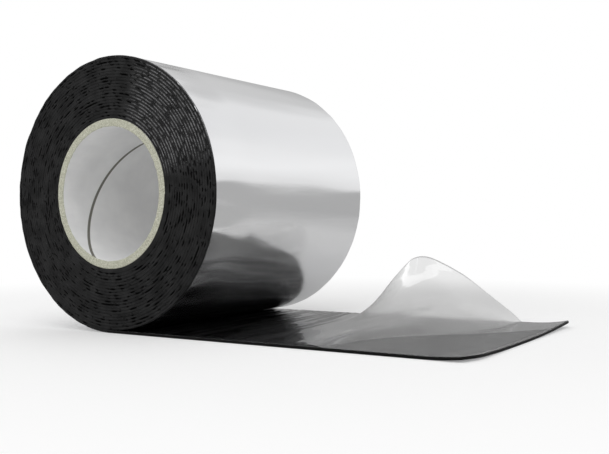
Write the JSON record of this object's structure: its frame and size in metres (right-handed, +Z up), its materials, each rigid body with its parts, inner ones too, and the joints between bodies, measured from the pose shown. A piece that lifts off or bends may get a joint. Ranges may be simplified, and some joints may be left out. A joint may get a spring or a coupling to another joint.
{
  "type": "roll of waterproof repair tape",
  "caption": "Roll of aluminium-faced butyl repair tape on a cardboard core, lying on its side with a flat tail run out and its clear release liner partly lifted",
  "frame": {"origin": "middle of the core's bore, at half the tape's width", "axes": "+Y along the bore, away from the end of the roll that the picture shows; +X the way the tail runs out; +Z up, with the roll lying on its side"},
  "size_m": [0.295, 0.15, 0.1569],
  "materials": {
    "core": "pale grey-white paper, cream and slightly rough on the cut rim",
    "butyl": "black sticky butyl compound, dull on the wound ends",
    "foil": "bright smooth aluminium facing, slightly rippled",
    "liner": "clear glossy release film"
  },
  "bodies": {
    "root": {"core_tube": "core", "butyl_coil": "butyl", "foil_facing": "foil", "release_liner": "liner"}
  },
  "joints": []
}
